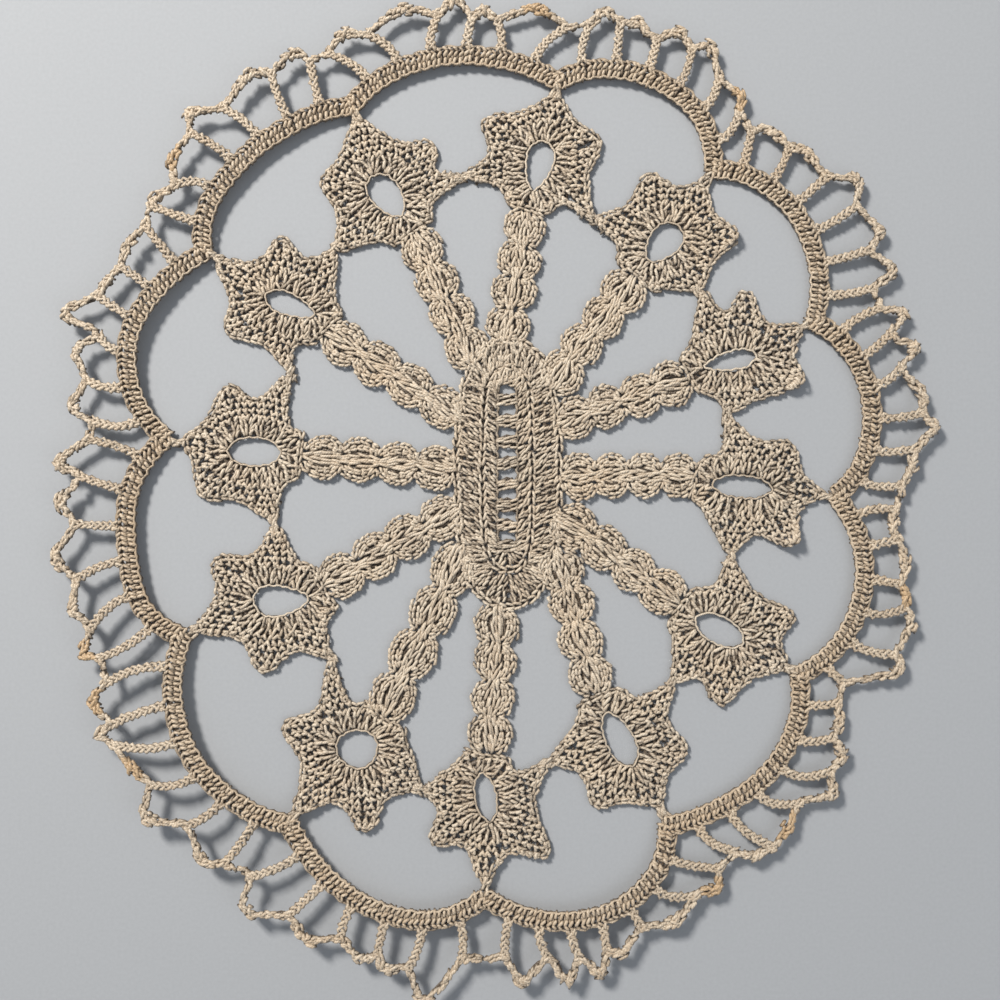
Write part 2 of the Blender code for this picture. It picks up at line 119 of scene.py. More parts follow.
# The medallion's ladder: half its core's length, its middle and its rungs.
CORE_SAMPLES = 360
LADDER_CORE = 24.0 * MM
LADDER_RISE = 3.4 * MM
LADDER_SHIFT = -0.2 * MM
RUNGS = 7
RUNG_PITCH = 6.78 * MM
END_RUNG = 26.9 * MM
RUNG_POSTS = (-1.3, -0.4, 0.5, 1.4)

# The medallion's cords across its back, as shares of the way out, and its two rounds of
# posts: where each is counted, its start and end, and its pitch in millimetres.
MEDALLION_BACKS = (0.31, 0.6, 0.74, 0.88)
MEDALLION_ROUNDS = ((0.32, 0.2, 0.43, 1.3), (0.72, 0.52, 0.95, 1.32))

# The ring's cords across its back, in millimetres from its middle line.
RING_BACKS = (-1.7, -0.5, 0.7, 1.9)

# The edging's plaits and how far round a picot its thread is thick.
PLAIT_WIDTH = 1.15 * MM
PLAIT_PITCH = 5.6 * MM
PICOT_REACH = 4.5 * MM
WARM_SHARE = 0.8

# The lights, as (place, size, colour), and the light from all round.
KEY_LIGHT = ((-0.62, 0.72, 0.85), 0.24, (1.0, 0.97, 0.93))
FILL_LIGHT = ((0.5, -0.3, 0.6), 0.6, (0.93, 0.96, 1.0))
FILL_SHARE = 0.05
SKY_COLOUR = (0.80, 0.86, 0.95, 1.0)
SKY_STRENGTH = 0.35
FLOOR_REACH = 1.5
SENSOR_WIDTH = 36.0

# Places in millimetres from the middle of the medallion.
Scallop = namedtuple("Scallop", "knot rise crown fall")
Comb = namedtuple("Comb", "lean reach sway crest")

# The middle line of each scallop of the ring, from its knot over its crown.
SCALLOPS = (
    Scallop((16.1, 126.5), (29.7, 130.3), (46.8, 127.1), (61.6, 115.8)),
    Scallop((66.5, 98.1), (80.3, 94.8), (93.2, 83.5), (100.0, 66.5)),
    Scallop((99.0, 49.0), (111.0, 38.7), (117.1, 22.3), (114.8, 4.5)),
    Scallop((105.8, -6.8), (113.5, -21.3), (114.5, -37.4), (107.7, -53.9)),
    Scallop((93.9, -65.2), (92.9, -81.0), (83.9, -96.5), (68.4, -107.7)),
    Scallop((51.6, -113.5), (46.8, -129.7), (31.9, -141.0), (11.9, -143.2)),
    Scallop((-7.7, -136.1), (-23.5, -142.9), (-41.3, -139.7), (-57.4, -129.4)),
    Scallop((-70.3, -112.3), (-86.5, -105.2), (-100.6, -91.0), (-107.1, -71.3)),
    Scallop((-104.5, -52.3), (-117.1, -42.6), (-121.9, -24.5), (-121.0, -4.5)),
    Scallop((-110.3, 11.6), (-120.3, 25.5), (-121.3, 43.9), (-112.3, 59.4)),
    Scallop((-97.7, 71.3), (-95.8, 86.8), (-82.9, 102.9), (-66.1, 113.9)),
    Scallop((-50.3, 118.4), (-37.4, 129.0), (-18.7, 134.5), (0.6, 132.9)),
)

# The spokes of each scallop's edging: how far along and out of the middle line each one
# reaches, and the same for the picot between two spokes.
COMBS = (
    Comb((5, 0, -1, -3, -5, -7), (14, 15, 12, 14, 12, 11),
         (2, -1, -3, -6, -4), (18, 15, 17, 18, 14)),
    Comb((-1, -2, 0, -2, -1, -3), (14, 14, 15, 18, 17, 17),
         (-3, -4, -2, 2, -1), (16, 16, 23, 22, 24)),
    Comb((4, -2, -4, -2, -4, -6), (16, 13, 12, 16, 15, 14),
         (3, -1, -1, -4, -5), (21, 19, 16, 20, 15)),
    Comb((4, 0, 1, -6, -5, -1), (14, 12, 11, 14, 16, 10),
         (1, 1, -3, -8, -9), (11, 13, 14, 17, 19)),
    Comb((-2, -5, -9, -9, -7, -9), (12, 12, 15, 13, 19, 14),
         (-3, -8, -11, -8, -6), (13, 17, 19, 16, 18)),
    Comb((-3, -8, 0, 1, -2, -4, -3), (18, 14, 9, 11, 11, 11, 14),
         (-5, -3, 3, -2, -5, -4), (19, 14, 13, 18, 19, 20)),
    Comb((4, 4, -1, -2, 1, 4), (14, 15, 13, 13, 17, 18),
         (9, 3, -4, -1, 4), (25, 17, 16, 19, 26)),
    Comb((3, 4, 7, 7, -3, -7), (18, 15, 15, 21, 20, 20),
         (1, 8, 6, 3, -4), (21, 22, 18, 25, 25)),
    Comb((5, -6, -4, 1, 1, -4), (20, 17, 17, 16, 16, 18),
         (-1, -6, -3, 0, -7), (24, 20, 23, 21, 24)),
    Comb((8, 5, 5, 1, -1, 0), (14, 13, 9, 14, 13, 17),
         (6, 7, 1, -1, -1), (19, 16, 22, 14, 16)),
    Comb((2, -6, -3, -4, 2, 1), (17, 12, 17, 16, 17, 16),
         (-4, -6, -6, 2, 4), (16, 17, 22, 20, 20)),
    Comb((-5, -6, 5, 2, -3, 6), (16, 14, 13, 12, 12, 16),
         (-5, 0, 3, -1, 2), (18, 17, 18, 15, 18)),
)
FOOT_FIRST = 0.13
FOOT_LAST = 0.87

# Picots worked in a warmer cotton: the comb they are on and their place in it.
WARM_PICOTS = ((0, 4), (5, 0), (7, 2), (7, 4), (8, 0), (10, 1), (11, 4), (3, 2), (4, 3))


class CottonSettings(bpy.types.PropertyGroup):
    """The thread that the doily is worked in."""
    thickness: bpy.props.FloatProperty(
        name="Thread", description="Diameter of the cotton", default=0.92 * MM,
        min=0.0003, max=0.002, precision=5, unit="LENGTH")
    unevenness: bpy.props.FloatProperty(
        name="Unevenness", description="How far stitches stray from their places",
        default=0.34 * MM, min=0.0, max=0.001, precision=5, unit="LENGTH")
    ply_pitch: bpy.props.FloatProperty(
        name="Ply pitch", description="Length of one turn of the twisted plies",
        default=2.4 * MM, min=0.0005, max=0.01, precision=5, unit="LENGTH")
    light: bpy.props.FloatVectorProperty(
        name="Light cotton", description="Colour on the crests of the thread",
        default=(0.80, 0.685, 0.53), subtype="COLOR", min=0.0, max=1.0)
    # Painted shade: the dark colour stands for the shade in the grooves between the plies, and is
    # also the darker end of the fibres' and threads' random tone.
    dark: bpy.props.FloatVectorProperty(
        name="Dark cotton", description="Colour in the grooves between the plies",
        default=(0.36, 0.265, 0.175), subtype="COLOR", min=0.0, max=1.0)
    warm: bpy.props.FloatVectorProperty(
        name="Warm cotton", description="Colour of the stained picots",
        default=(0.54, 0.36, 0.19), subtype="COLOR", min=0.0, max=1.0)
    # Painted shade: the near-black brown that the threads are darkened to near the middle of the
    # work's thickness.
    painted_shade: bpy.props.FloatVectorProperty(
        name="Heart", description="Colour deep inside the work, where dust has settled",
        default=(0.075, 0.05, 0.03), subtype="COLOR", min=0.0, max=1.0)
    roughness: bpy.props.FloatProperty(
        name="Roughness", description="Roughness of the mercerised cotton",
        default=0.36, min=0.0, max=1.0, subtype="FACTOR")


class StitchSettings(bpy.types.PropertyGroup):
    """The gauge of the work."""
    post_pitch: bpy.props.FloatProperty(
        name="Post pitch", description="Width of a tall stitch", default=1.42 * MM,
        min=0.001, max=0.01, precision=5, unit="LENGTH")
    post_length: bpy.props.FloatProperty(
        name="Post length", description="Height of a tall stitch in the rosettes",
        default=6.4 * MM, min=0.002, max=0.02, precision=5, unit="LENGTH")
    chain_pitch: bpy.props.FloatProperty(
        name="Chain pitch", description="Length of a chain stitch", default=2.3 * MM,
        min=0.001, max=0.01, precision=5, unit="LENGTH")
    ring_pitch: bpy.props.FloatProperty(
        name="Ring pitch", description="Width of a single crochet in the ring",
        default=3.0 * MM, min=0.001, max=0.01, precision=5, unit="LENGTH")


class StageSettings(bpy.types.PropertyGroup):
    """The surface under the doily, the lights and the view."""
    floor_colour: bpy.props.FloatVectorProperty(
        name="Floor", description="Colour of the surface", default=(0.42, 0.43, 0.44),
        subtype="COLOR", min=0.0, max=1.0)
    camera_height: bpy.props.FloatProperty(
        name="Camera height", description="Height of the view over the doily",
        default=0.33, min=0.1, max=3.0, unit="LENGTH")
    view_width: bpy.props.FloatProperty(
        name="View width", description="Width of surface in view", default=0.3245,
        min=0.1, max=3.0, unit="LENGTH")
    light_power: bpy.props.FloatProperty(
        name="Key light", description="Strength of the main light in watts", default=20.0,
        min=0.0, max=100.0)


def metres(place):
    """A place given in millimetres, as a flat vector in metres."""
    return Vector(place) * MM


def left_of(vector):
    """The unit vector a quarter turn anticlockwise from a flat vector."""
    return Vector((-vector.y, vector.x)).normalized()


def through(before, start, end, after, share):
    """A point between start and end on the smooth curve through four points."""
    return 0.5 * (2 * start + (end - before) * share
                  + (2 * before - 5 * start + 4 * end - after) * share ** 2
                  + (3 * start - before - 3 * end + after) * share ** 3)


def smooth(knots, steps, closed=False):
    """A smooth line through its knots, with a number of steps from knot to knot."""
    if closed:
        row = [knots[-1]] + knots + knots[:2]
        spans = len(knots)
    else:
        row = [2 * knots[0] - knots[1]] + knots + [2 * knots[-1] - knots[-2]]
        spans = len(knots) - 1
    line = [through(*row[k:k + 4], s / steps) for k in range(spans) for s in range(steps)]
    return line if closed else line + [knots[-1]]


def spaced(line, pitch, closed=False):
    """The same line with its points spread evenly, about one pitch apart."""
    if closed:
        line = line + [line[0]]
    lengths = [(b - a).length for a, b in zip(line, line[1:])]
    total = sum(lengths)
    count = max(round(total / pitch), 1)
    result = []
    index, passed = 0, 0.0
    for k in range(count + 1):
        target = total * k / count
        while index < len(lengths) - 1 and passed + lengths[index] < target:
            passed += lengths[index]
            index += 1
        share = (target - passed) / max(lengths[index], 1e-9)
        result.append(line[index].lerp(line[index + 1], min(share, 1.0)))
    return result


def tangents(line, closed=False):
    """The direction of a line at each of its points."""
    last = len(line) - 1
    result = []
    for k in range(len(line)):
        if closed:
            way = line[(k + 1) % len(line)] - line[k - 1]
        else:
            way = line[min(k + 1, last)] - line[max(k - 1, 0)]
        result.append(way.normalized())
    return result


def beside(line, distance, closed=False):
    """The line moved to its left by a distance."""
    return [place + left_of(way) * distance
            for place, way in zip(line, tangents(line, closed))]


def reach(loop, start, way):
    """How far it is from a point, along a direction, to a closed loop."""
    best = None
    for a, b in zip(loop, loop[1:] + loop[:1]):
        side = b - a
        turn = way.cross(side)
        if abs(turn) < 1e-12:
            continue
        distance = (a - start).cross(side) / turn
        share = (a - start).cross(way) / turn
        if 0 <= share <= 1 and distance > 0 and (best is None or distance < best):
            best = distance
    return best if best is not None else 0.0


def rims(node):
    """The outlines of a node's upper face, as flat closed loops, the longest first."""
    body = bmesh.new()
    body.from_mesh(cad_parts[node].data)
    bmesh.ops.remove_doubles(body, verts=body.verts, dist=1e-6)
    body.normal_update()
    following = {}
    for face in body.faces:
        if face.normal.z > 0.5:
            for loop in face.loops:
                if loop.link_loop_radial_next.face.normal.z < 0.5:
                    following[loop.vert.index] = loop.link_loop_next.vert.index
    places = {vertex.index: vertex.co.xy for vertex in body.verts}
    body.free()
    loops = []
    while following:
        index = next(iter(following))
        loop = []
        while index in following:
            loop.append(places[index].copy())
            index = following.pop(index)
        loops.append(loop)
    return sorted(loops, key=len, reverse=True)


def frame_surface():
    """All the frame's solids as one surface that can be searched."""
    corners, faces = [], []
    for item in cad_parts.values():
        first = len(corners)
        corners += [vertex.co.copy() for vertex in item.data.vertices]
        faces += [[first + k for k in face.vertices] for face in item.data.polygons]
    return BVHTree.FromPolygons(corners, faces)


SURFACE = frame_surface()


def underside(x, y):
    """How high the doily's underside is over a place."""
    below = Vector((x, y, -0.02))
    hit = SURFACE.ray_cast(below, Vector((0, 0, 1)))[0]
    if hit is None:
        hit = SURFACE.find_nearest(below)[0]
    return hit.z


class Yarn:
    """The threads of one piece of work, gathered before they are made into a mesh."""

    def __init__(self, seed):
        cotton = bpy.context.scene.doily_cotton
        self.thickness = cotton.thickness
        self.unevenness = cotton.unevenness
        self.chance = random.Random(seed)
        self.threads = []

    def stray(self, place, seed=0.0):
        """A place moved a little, the same way as the places close to it."""
        spot = Vector((place.x * 400, place.y * 400, seed))
        shift = Vector((noise.noise(spot), noise.noise(spot + Vector((5.3, 1.7, 9.1)))))
        return place + shift * self.unevenness * 2

    def lay(self, points, share=1.0, warm=0.0):
        """One thread through points (place, height), with its share of the thickness.

        It is never lower than the doily's underside."""
        chance = self.chance
        jitter = self.unevenness * 0.3
        share *= chance.uniform(0.88, 1.1)
        lowest = self.thickness / 2 * share
        points = [(place + Vector((chance.gauss(0, jitter), chance.gauss(0, jitter))),
                   max(height + chance.gauss(0, jitter * 0.6), lowest))
                  for place, height in points]
        self.threads.append((points, share, chance.random(), warm))

    def cord(self, line, height, share=1.0, sway=0.0, pitch=3 * MM, warm=0.0):
        """A long thread along a line, swaying from side to side."""
        passed = 0.0
        points = []
        for k, (place, way) in enumerate(zip(line, tangents(line))):
            if k:
                passed += (line[k] - line[k - 1]).length
            turn = 2 * math.pi * passed / pitch
            points.append((place + left_of(way) * sway * math.sin(turn),
                           height + sway * 0.6 * math.cos(turn)))
        self.lay(points, share, warm)

    def grain(self, start, end, height=FRONT, bow=0.0, share=1.0, warm=0.0):
        """A short length of thread that comes up from behind, crosses and dives again."""
        way = end - start
        across = left_of(way) * bow
        self.lay([(start, height - DIVE), (start + way * 0.28 + across, height),
                  (start + way * 0.72 + across, height), (end, height - DIVE)], share, warm)

    def chain(self, line, pitch, half_width, height=FRONT, closed=False, bumps=True):
        """A row of chain stitches: leaf-shaped Vs in front, a bump behind each of them."""
        stations = spaced(line, pitch, closed)
        for k in range(len(stations) - 1):
            start = self.stray(stations[k], 1.0)
            way = stations[k + 1] - stations[k]
            across = left_of(way) * half_width
            for side in (-1, 1):
                swell = side * self.chance.uniform(0.8, 1.2)
                lift = self.chance.uniform(-0.2, 0.2) * MM
                self.lay([
                    (start - way * 0.15 + across * swell * 0.05, height - DIVE),
                    (start + way * 0.25 + across * swell * 0.6, height + lift),
                    (start + way * 0.8 + across * swell, height + lift),
                    (start + way * 1.2 + across * swell * 0.7, height - DIVE),
                ], 1.12)
            if bumps:
                self.lay([(start - across * 0.9, BACK), (start + way * 0.5, BACK - 0.02 * MM),
                          (start + way + across * 0.9, BACK)])

    def post(self, base, top, width=0.45 * MM, step=1.9 * MM, height=LEG + 0.3 * MM, bow=0.0,
             hand=1, share=1.0):
        """A tall stitch: legs wound round each other, seen as a column of slanted grains.

        A bow bends it to its left, and a back thread closes the gap beside it."""
        base = self.stray(base, 2.0)
        top = self.stray(top, 3.0)
        way = top - base
        across = left_of(way)
        chance = self.chance.uniform

        def at(share, side):
            return base + way * share + across * (side + bow * math.sin(math.pi * share))

        count = max(round(way.length / step), 1)
        for k in range(count):
            middle = (k + 0.5 + chance(-0.12, 0.12)) / count
            half = min(chance(0.72, 0.95), 0.35 + 0.5 * count) / count
            slant = hand * width * chance(0.1, 1.8)
            self.grain(at(max(middle - half, -0.04), -slant), at(min(middle + half, 1.04), slant),
                       height + chance(-0.25, 0.35) * MM, bow=chance(-0.45, 0.45) * MM,
                       share=share)
        self.lay([(at(0.04, -0.5 * MM), BACK), (at(0.5, 0.7 * MM), BACK - 0.02 * MM),
                  (at(0.96, -0.5 * MM), BACK)], 1.2 * share)

    def thatch(self, place, way, length, height=FRONT):
        """Two grains that part in a V from a place, over a thread across the back."""
        place = self.stray(place, 6.0)
        turn = self.chance.uniform(-0.3, 0.3)
        for side in (-1, 1):
            angle = turn + side * self.chance.uniform(0.35, 0.75)
            spoke = Vector((way.x * math.cos(angle) - way.y * math.sin(angle),
                            way.x * math.sin(angle) + way.y * math.cos(angle)))
            self.grain(place - spoke * 0.25 * MM, place + spoke * length,
                       height + self.chance.uniform(-0.35, 0.2) * MM,
                       bow=-side * 0.3 * MM, share=1.2)
        across = left_of(way) * 1.2 * MM
        middle = place + way * length * 0.5
        self.lay([(middle - across, BACK), (middle + across, BACK + 0.05 * MM)], 1.35)


def crocheted(name, yarn, finish, nodes):
    """The piece made of a yarn's threads, in place of its nodes."""
    curve = bpy.data.curves.new(name, "CURVE")
    curve.dimensions = "3D"
    curve.bevel_depth = yarn.thickness / 2
    curve.bevel_resolution = 1
    curve.use_fill_caps = True
    along, shades, caps, floors = [], [], [], []
    for points, share, shade, warm in yarn.threads:
        spline = curve.splines.new("POLY")
        spline.points.add(len(points) - 1)
        places = np.array([(place.x, place.y, underside(place.x, place.y) + height, 1.0)
                           for place, height in points])
        spline.points.foreach_set("co", places.ravel())
        radii = np.full(len(points), share)
        radii[[0, -1]] *= TAPER
        spline.points.foreach_set("radius", radii)
        steps = np.linalg.norm(np.diff(places[:, :3], axis=0), axis=1)
        passed = np.concatenate(([0.0], np.cumsum(steps))) + shade
        along.append(np.repeat(passed, SIDES))
        caps.append(np.repeat((passed[-1], passed[0]), SIDES))
        low = places[:, 2] - [height for _, height in points]
        floors.append((np.repeat(low[[-1, 0]], SIDES), np.repeat(low, SIDES)))
        shades.append((shade, warm, len(points)))
    flat = bpy.data.objects.new(name + "_threads", curve)
    bpy.context.scene.collection.objects.link(flat)
    graph = bpy.context.evaluated_depsgraph_get()
    mesh = bpy.data.meshes.new_from_object(flat.evaluated_get(graph))
    bpy.data.objects.remove(flat)
    bpy.data.curves.remove(curve)
    # The mesh holds the threads' caps first, from the last thread back, then their sides.
    lengths = np.concatenate(caps[::-1] + along)
    uses = ([(shade, warm, 2) for shade, warm, _ in shades[::-1]] + shades)
    counts = [use[2] * SIDES for use in uses]
    for label, index in (("shade", 0), ("warm", 1)):
        layer = mesh.attributes.new(label, "FLOAT", "POINT")
        layer.data.foreach_set("value", np.repeat([use[index] for use in uses], counts))
    low = np.concatenate([ends for ends, _ in floors[::-1]] + [row for _, row in floors])
    spots = np.empty(len(mesh.vertices) * 3)
    mesh.vertices.foreach_get("co", spots)
    # Painted shade: how far each point lies from the height where the threads are painted
    # darkest, as a share of that height.
    layer = mesh.attributes.new("shade_distance", "FLOAT", "POINT")
    layer.data.foreach_set("value", np.abs(spots[2::3] - low - SHADE_HEIGHT) / SHADE_HEIGHT)
    corners = np.empty(len(mesh.loops), dtype=np.int32)
    mesh.loops.foreach_get("vertex_index", corners)
    places = np.empty(len(mesh.loops) * 2)
    mesh.uv_layers[0].uv.foreach_get("vector", places)
    places[0::2] = lengths[corners]
    mesh.uv_layers[0].uv.foreach_set("vector", places)
    body = bmesh.new()
    body.from_mesh(mesh)
    bmesh.ops.remove_doubles(body, verts=body.verts, dist=1e-7)
    for face in body.faces:
        face.smooth = True
    body.to_mesh(mesh)
    body.free()
    mesh.name = name
    mesh.materials.clear()
    mesh.materials.append(finish)
    piece = bpy.data.objects.new(name, mesh)
    bpy.context.scene.collection.objects.link(piece)
    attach(piece, "root")
    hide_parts(*nodes)
    return piece


class Socket:
    """A shader socket that can be used in arithmetic."""

    def __init__(self, nodes, socket):
        self.nodes = nodes
        self.socket = socket

    def maths(self, operation, first, second=None):
        values = [first] if second is None else [first, second]
        return self.nodes.add("ShaderNodeMath", {"operation": operation},
                              dict(enumerate(values)))

    def __add__(self, other):
        return self.maths("ADD", self, other)

    def __sub__(self, other):
        return self.maths("SUBTRACT", self, other)

    def __mul__(self, other):
        return self.maths("MULTIPLY", self, other)

    def __radd__(self, other):
        return self.maths("ADD", other, self)

    def __rsub__(self, other):
        return self.maths("SUBTRACT", other, self)

    def __rmul__(self, other):
        return self.maths("MULTIPLY", other, self)


class Nodes:
    """The node tree of one material."""

    def __init__(self, material):
        material.use_nodes = True
        self.tree = material.node_tree
        self.shader = self.tree.nodes["Principled BSDF"]

    def add(self, kind, settings, inputs, output=0):
        """A node of a kind, with its settings and the values or links of its sockets."""
        node = self.tree.nodes.new(kind)
        for key, value in settings.items():
            setattr(node, key, value)
        for key, value in inputs.items():
            self.feed(node.inputs[key], value)
        return Socket(self, node.outputs[output])

    def feed(self, socket, value):
        """Link a socket, or set its value."""
        if isinstance(value, Socket):
            self.tree.links.new(value.socket, socket)
        else:
            socket.default_value = value

    def mix(self, factor, first, second):
        """A colour between two colours."""
        return self.add("ShaderNodeMix", {"data_type": "RGBA"},
                        {0: factor, 6: first, 7: second}, output=2)


def opaque(colour, share=1.0):
    """A colour with its alpha, darkened to a share."""
    return tuple(channel * share for channel in colour) + (1.0,)


def cotton_finish(name, shade_and_tint=0.0):
    """Mercerised cotton: twisted plies along each thread, fine fibres and soft patches.

    A share of painted shade, with a warmer tint, darkens and warms it."""
    settings = bpy.context.scene.doily_cotton
    material = bpy.data.materials.new(name)
    nodes = Nodes(material)
    spot = nodes.add("ShaderNodeTexCoord", {}, {}, output="Object")
    thread = nodes.add("ShaderNodeTexCoord", {}, {}, output="UV")
    split = nodes.tree.nodes.new("ShaderNodeSeparateXYZ")
    nodes.feed(split.inputs[0], thread)
    passed = Socket(nodes, split.outputs[0])
    around = Socket(nodes, split.outputs[1])
    turn = (passed * (1 / settings.ply_pitch) + around) * (2 * math.pi * PLIES)
    wave = nodes.add("ShaderNodeMath", {"operation": "SINE"}, {0: turn})
    crest = wave * 0.5 + 0.5
    patches = nodes.add("ShaderNodeTexNoise", {},
                        {"Vector": spot, "Scale": PATCH_SCALE, "Detail": 3.0})
    fibres = nodes.add("ShaderNodeTexNoise", {},
                       {"Vector": spot, "Scale": FIBRE_SCALE, "Detail": 2.0})
    shade = nodes.add("ShaderNodeAttribute", {"attribute_name": "shade"}, {}, output="Fac")
    warm = nodes.add("ShaderNodeAttribute", {"attribute_name": "warm"}, {}, output="Fac")
    shade_distance = nodes.add("ShaderNodeAttribute", {"attribute_name": "shade_distance"}, {}, output="Fac")
    clear_of_shade = nodes.add("ShaderNodeMapRange", {"interpolation_type": "SMOOTHSTEP"},
                         {"Value": shade_distance, "From Min": 0.1, "From Max": 1.0})
    # Painted shade in the ply grooves: the crest wave darkens the colour between the plies, while
    # the fibres and each thread's random tone vary it too.
    tone = crest * 0.35 + fibres * 0.15 + shade * 0.4 + 0.1
    colour = nodes.mix(tone, opaque(settings.dark), opaque(settings.light))
    colour = nodes.mix(warm, colour, opaque(settings.warm))
    drift = (patches - 0.45) * 0.6
    colour = nodes.mix(drift, colour, opaque(settings.warm, 1.25))
    # Painted shade with a warmer tint: the ring and edging are darkened towards a darker warm
    # brown.
    colour = nodes.mix(shade_and_tint, colour, opaque(settings.warm, 0.8))
    # Painted shade: near the middle of the work's thickness the colour goes to a near-black
    # brown.
    colour = nodes.mix(clear_of_shade, opaque(settings.painted_shade), colour)
    nodes.feed(nodes.shader.inputs["Base Color"], colour)
    nodes.feed(nodes.shader.inputs["Roughness"], settings.roughness + 0.12 * (1 - crest))
    bump = nodes.add("ShaderNodeBump", {}, {
        "Strength": 0.55, "Distance": 0.12 * MM, "Height": crest + fibres * 0.7})
    nodes.feed(nodes.shader.inputs["Normal"], bump)
    nodes.shader.inputs["Sheen Weight"].default_value = 0.25
    nodes.shader.inputs["Sheen Roughness"].default_value = 0.4
    nodes.shader.inputs["Specular IOR Level"].default_value = 0.55
    return material


def node_names(kind):
    """The frame's nodes of one kind, clockwise from the top."""
    return [f"{kind}_{k + 1:02d}" for k in range(COUNT)]


Fan = namedtuple("Fan", "rim ways rooms")


def rim_fan(rim, edge):
    """Points round a smooth rim, their outward directions and the room to the edge."""
    line = spaced(smooth(rim, 12, closed=True), RIM_LENGTH / RIM_SAMPLES, closed=True)[:-1]
    ways = [left_of(way) for way in tangents(line, closed=True)]
    if ways[0].dot(line[0] - middle_of(line)) < 0:
        ways = [-way for way in ways]
    rooms = [reach(edge, place, way) for place, way in zip(line, ways)]
    return Fan(line, ways, rooms)


def fan_line(fan, distance):
    """The closed line at a distance outside a fan's rim."""
    return [place + way * distance for place, way in zip(fan.rim, fan.ways)]


def fan_stations(fan, distance, pitch):
    """The indices of a fan's points that lie evenly along the line at a distance."""
    line = fan_line(fan, distance)
    lengths = [(b - a).length for a, b in zip(line, line[1:] + line[:1])]
    total = sum(lengths)
    count = round(total / pitch)
    result = []
    passed = 0.0
    for k, length in enumerate(lengths):
        if passed >= total * len(result) / count:
            result.append(k)
        passed += length
    return result


def fan_runs(fan, distance, margin):
    """The stretches of the line at a distance that lie inside the edge by a margin."""
    line = fan_line(fan, distance)
    inside = [room > distance + margin for room in fan.rooms]
    if all(inside):
        return [line + line[:1]]
    start = inside.index(False)
    runs, run = [], []
    for shift in range(len(line) + 1):
        k = (start + shift) % len(line)
        if inside[k]:
            run.append(line[k])
        elif run:
            if len(run) > 4:
                runs.append(run)
            run = []
    return runs


def work_rosette(yarn, index, stitches):
    """A star rosette: rows of posts round its open eye, edged with chain."""
    outlines = rims(f"rosette_{index + 1:02d}")
    edge, eye = outlines[0], outlines[1]
    fan = rim_fan(eye, edge)
    pitch = stitches.post_pitch
    rim = spaced(fan_line(fan, -0.05 * MM), 0.9 * MM, closed=True)
    for height in (LEG - 0.1 * MM, LEG + 0.5 * MM):
        yarn.cord(rim, height, share=0.75, sway=0.18 * MM)
    for distance in ROSETTE_BACKS:
        for run in fan_runs(fan, distance, 1 * MM):
            yarn.cord(spaced(run, 2.1 * MM), BACK, share=1.4, sway=0.25 * MM)
    row_start = 0.3 * MM
    row_end = stitches.post_length
    for count, k in enumerate(fan_stations(fan, row_end * 0.45, pitch)):
        end = min(row_end, fan.rooms[k] - 1.0 * MM)
        if end > row_start + 1.5 * MM:
            yarn.post(fan.rim[k] + fan.ways[k] * row_start, fan.rim[k] + fan.ways[k] * end,
                      width=0.4 * MM, step=2.0 * MM, bow=yarn.chance.uniform(-0.7, 0.7) * MM,
                      hand=POST_SLANTS[count % 4], share=1.15)
    distance = row_end - 0.9 * MM
    while any(room > distance + 1.2 * MM for room in fan.rooms):
        for k in fan_stations(fan, distance + 1 * MM, THATCH_PITCH):
            length = min(2.3 * MM, fan.rooms[k] - distance - 0.7 * MM)
            if length > 0.9 * MM:
                yarn.thatch(fan.rim[k] + fan.ways[k] * distance, fan.ways[k], length)
        distance += THATCH_STEP
    border = beside(smooth(edge, 4, closed=True), 0.8 * MM, closed=True)
    yarn.chain(border, stitches.chain_pitch, 0.75 * MM, FRONT - 0.2 * MM, closed=True,
               bumps=False)
    join(yarn, edge, rims(f"rosette_{(index + 1) % COUNT + 1:02d}")[0])
    knot = metres(SCALLOPS[index].knot)
    join(yarn, edge, [knot * (1 - 2.0 * MM / knot.length)])


def join(yarn, one, other):
    """The stitches that join two pieces of work where they come closest."""
    pairs = ((a, b) for a in one for b in other)
    start, end = min(pairs, key=lambda pair: (pair[0] - pair[1]).length)
    way = (middle_of(other) - middle_of(one)).normalized()
    across = left_of(way)
    chance = yarn.chance.uniform
    for _ in range(JOIN_GRAINS):
        middle = (start + end) / 2 + (across * chance(-1.4, 1.4) + way * chance(-2, 2)) * MM
        half = (way + across * chance(-0.6, 0.6)) * 1.6 * MM
        yarn.grain(middle - half, middle + half, FRONT - chance(0, 0.5) * MM,
                   bow=chance(-0.5, 0.5) * MM, share=1.15)


def middle_of(loop):
    """The middle of a loop of points."""
    return sum(loop, Vector((0, 0))) / len(loop)


def arm_line(index):
    """The middle line of an arm, from its rosette to the medallion."""
    rim = rims(f"arm_{index + 1:02d}")[0]
    middle = middle_of(rim)
    spread = np.array([tuple(place - middle) for place in rim])
    way = Vector(np.linalg.eigh(spread.T @ spread)[1][:, 1])
    low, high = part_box(f"rosette_{index + 1:02d}")
    if way.dot(((low + high) / 2).xy - middle) > 0:
        way = -way
    shares = [(place - middle).dot(way) for place in rim]
    return middle + way * min(shares), middle + way * max(shares)


